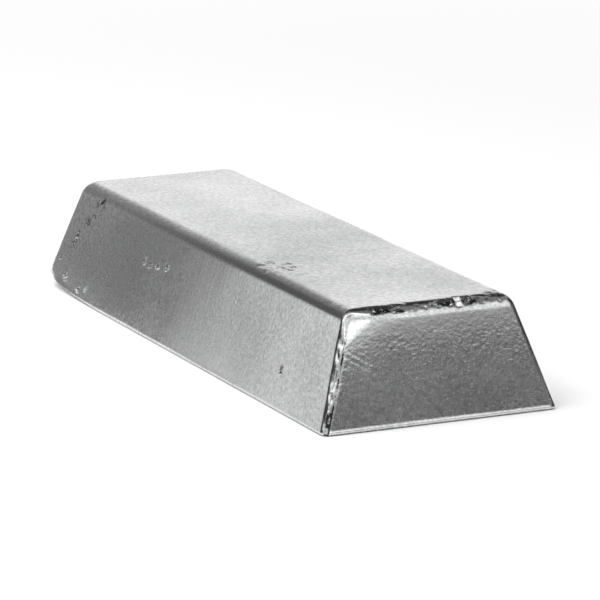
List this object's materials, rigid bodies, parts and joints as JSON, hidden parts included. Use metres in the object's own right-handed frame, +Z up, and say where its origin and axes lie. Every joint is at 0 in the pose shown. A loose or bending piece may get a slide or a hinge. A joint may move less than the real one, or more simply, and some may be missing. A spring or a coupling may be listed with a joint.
{
  "type": "aluminium ingot",
  "caption": "Solid cast aluminium ingot: an oblong bar that tapers upwards from its wide base, with rounded edges and a flat top to stack on.",
  "frame": {"origin": "centre of the base, on the surface that the ingot lies on", "axes": "+X along the bar, +Y across it, +Z up from the wide base to the narrow top"},
  "size_m": [0.2544, 0.089, 0.04],
  "materials": {
    "cast_aluminium": "as cast, satin, with a wrinkled skin"
  },
  "bodies": {
    "root": {"ingot": "cast_aluminium"}
  },
  "joints": []
}
